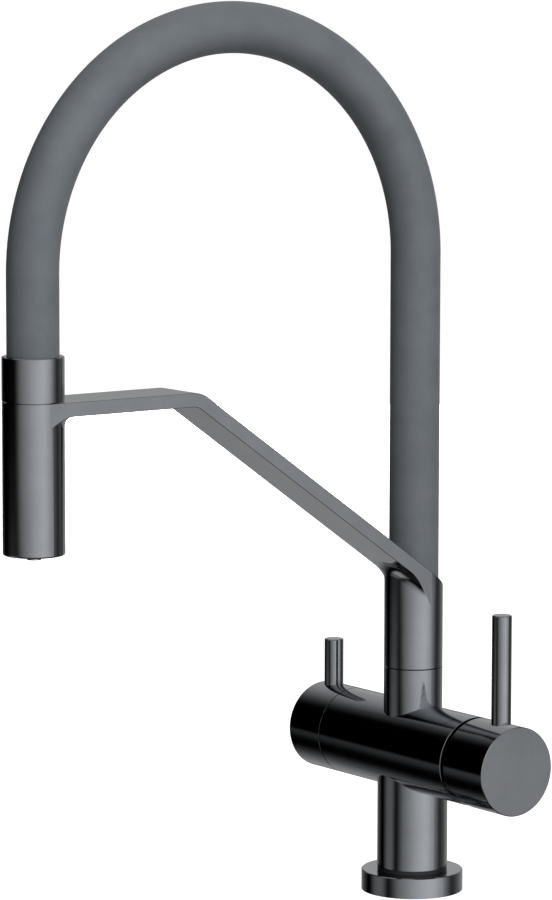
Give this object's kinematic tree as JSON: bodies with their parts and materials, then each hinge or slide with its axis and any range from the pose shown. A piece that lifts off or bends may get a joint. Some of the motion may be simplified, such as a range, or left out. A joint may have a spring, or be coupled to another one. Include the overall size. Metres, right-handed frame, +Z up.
{
  "type": "kitchen mixer tap",
  "caption": "Kitchen mixer tap with an arched silicone hose spout on a bent arm, a mixing lever and a separate filtered-water lever.",
  "frame": {"origin": "centre of the base flange's underside, on the deck", "axes": "+Z up along the column and the spout's swivel axis, -Y the way the spout points, +X towards the mixing lever"},
  "size_m": [0.16, 0.2713, 0.5171],
  "materials": {
    "gunmetal": "gunmetal-coloured coating on brass, fine satin gloss",
    "silicone": "matte blue-grey silicone",
    "seal_rubber": "black rubber",
    "black_plastic": "black plastic",
    "cartridge_plastic": "light grey engineering plastic",
    "line_plastic": "natural white plastic tube",
    "ceramic_disc": "lapped white ceramic",
    "plain_brass": "bare machined brass",
    "black_metal": "black-coated brass",
    "steel": "bare stainless steel"
  },
  "bodies": {
    "base": {"base_flange": "gunmetal", "deck_gasket": "seal_rubber", "foot_ring": "black_plastic", "threaded_shank": "plain_brass", "under_deck_seal": "seal_rubber", "clamp_washer": "steel", "mounting_nut": "plain_brass", "valve_body": "gunmetal", "mixer_base_seals": "seal_rubber", "mixer_cartridge_base": "cartridge_plastic", "mixer_fixed_disc": "ceramic_disc", "mixer_cartridge_housing": "cartridge_plastic", "mixer_cartridge_nut": "plain_brass", "mixer_dome": "black_metal", "filter_seat_seal": "seal_rubber", "filter_headpart": "plain_brass", "filter_fixed_disc": "ceramic_disc", "swivel_washer": "black_plastic", "swivel_stem": "plain_brass", "lower_slide_ring": "cartridge_plastic", "upper_slide_ring": "cartridge_plastic", "filter_riser": "steel"},
    "spout": {"stop_screw": "steel", "hose_base_fitting": "plain_brass", "swivel_o_rings": "seal_rubber", "riser_seal": "seal_rubber", "spout_casting": "gunmetal", "silicone_hose": "silicone", "support_tube": "steel", "mixed_water_line": "line_plastic", "filtered_water_line": "line_plastic", "hose_ferrule": "gunmetal", "head_fitting": "plain_brass", "head_o_ring": "seal_rubber", "aerator_housing": "black_plastic", "aerator_insert": "black_plastic", "aerator_washer": "seal_rubber", "filtered_water_nozzle": "gunmetal"},
    "mixer_turn": {"mixer_rotor": "cartridge_plastic", "mixer_pivot_pin": "steel"},
    "mixer_disc": {"mixer_moving_disc": "ceramic_disc", "mixer_disc_carrier": "cartridge_plastic"},
    "mixer_lever": {"mixer_spindle": "plain_brass", "mixer_cap": "gunmetal", "mixer_pin": "gunmetal", "mixer_grub_screw": "steel"},
    "filter_lever": {"filter_moving_disc": "ceramic_disc", "filter_spindle": "plain_brass", "filter_spindle_o_ring": "seal_rubber", "filter_cap": "gunmetal", "filter_pin": "gunmetal", "filter_grub_screw": "steel"}
  },
  "joints": [
    {"name": "spout_swivel", "type": "hinge", "parent": "base", "child": "spout", "pos_m": [0, 0, 0.1165], "axis": [0, 0, 1], "range_deg": [-160, 160]},
    {"name": "mixer_temperature", "type": "hinge", "parent": "base", "child": "mixer_turn", "pos_m": [0.046, 0, 0.0744], "axis": [1, 0, 0], "range_deg": [-50, 50]},
    {"name": "mixer_flow", "type": "hinge", "parent": "mixer_turn", "child": "mixer_lever", "pos_m": [0.046, 0, 0.0744], "axis": [0, 1, 0], "range_deg": [0, 20]},
    {"name": "mixer_disc_slide", "type": "slide", "parent": "mixer_turn", "child": "mixer_disc", "axis": [0, 0, 1], "range_m": [0, 0.005]},
    {"name": "filter_turn", "type": "hinge", "parent": "base", "child": "filter_lever", "pos_m": [-0.05, 0, 0.0744], "axis": [1, 0, 0], "range_deg": [0, 90]}
  ],
  "couplings": [
    {"joint": "mixer_disc_slide", "follows": "mixer_flow", "m_per_rad": 0.014207}
  ]
}
